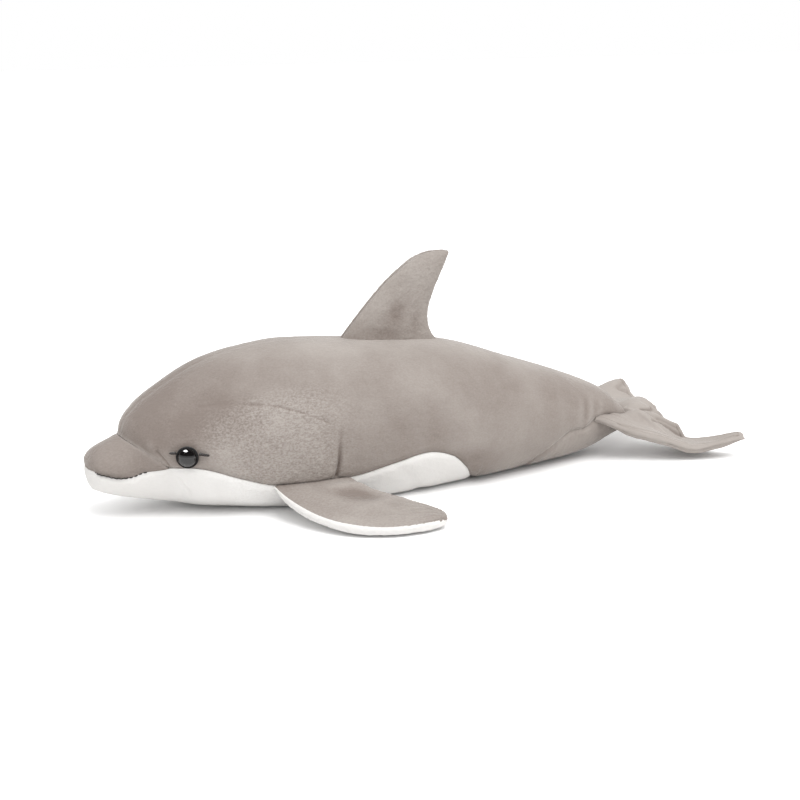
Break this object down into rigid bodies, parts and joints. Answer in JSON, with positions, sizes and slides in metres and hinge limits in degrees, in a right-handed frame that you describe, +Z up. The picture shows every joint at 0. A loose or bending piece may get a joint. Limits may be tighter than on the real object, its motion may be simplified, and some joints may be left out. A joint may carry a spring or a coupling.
{
  "type": "plush dolphin",
  "caption": "Stuffed plush dolphin lying on its belly, grey above and white below, with domed eyes, swept fins and folded tail flukes.",
  "frame": {"origin": "on the surface it lies on, under the middle of its whole length and width", "axes": "+X from the beak to the tail, +Y to the dolphin's right side, +Z up"},
  "size_m": [0.3892, 0.2116, 0.1313],
  "materials": {
    "grey_plush": "short pile",
    "light_grey_plush": "short pile",
    "white_plush": "short pile",
    "fibre_filling": "loose polyester fibre",
    "dark_thread": "twisted thread",
    "black_plastic": "polished",
    "washer_plastic": "moulded"
  },
  "bodies": {
    "root": {"left_side_panel": "grey_plush", "right_side_panel": "grey_plush", "rostrum_panel": "grey_plush", "belly_panel": "white_plush", "tail_underside_panel": "light_grey_plush", "body_stuffing": "fibre_filling", "dorsal_fin_left_panel": "grey_plush", "dorsal_fin_right_panel": "grey_plush", "dorsal_fin_stuffing": "fibre_filling", "left_pectoral_upper_panel": "grey_plush", "left_pectoral_lower_panel": "white_plush", "left_pectoral_stuffing": "fibre_filling", "right_pectoral_upper_panel": "grey_plush", "right_pectoral_lower_panel": "white_plush", "right_pectoral_stuffing": "fibre_filling", "fluke_upper_panel": "light_grey_plush", "fluke_lower_panel": "light_grey_plush", "left_eye": "black_plastic", "right_eye": "black_plastic", "left_eye_washer": "washer_plastic", "right_eye_washer": "washer_plastic", "left_eye_front_stitch": "dark_thread", "left_eye_rear_stitch": "dark_thread", "right_eye_front_stitch": "dark_thread", "right_eye_rear_stitch": "dark_thread", "left_mouth_stitch": "dark_thread", "right_mouth_stitch": "dark_thread"}
  },
  "joints": []
}
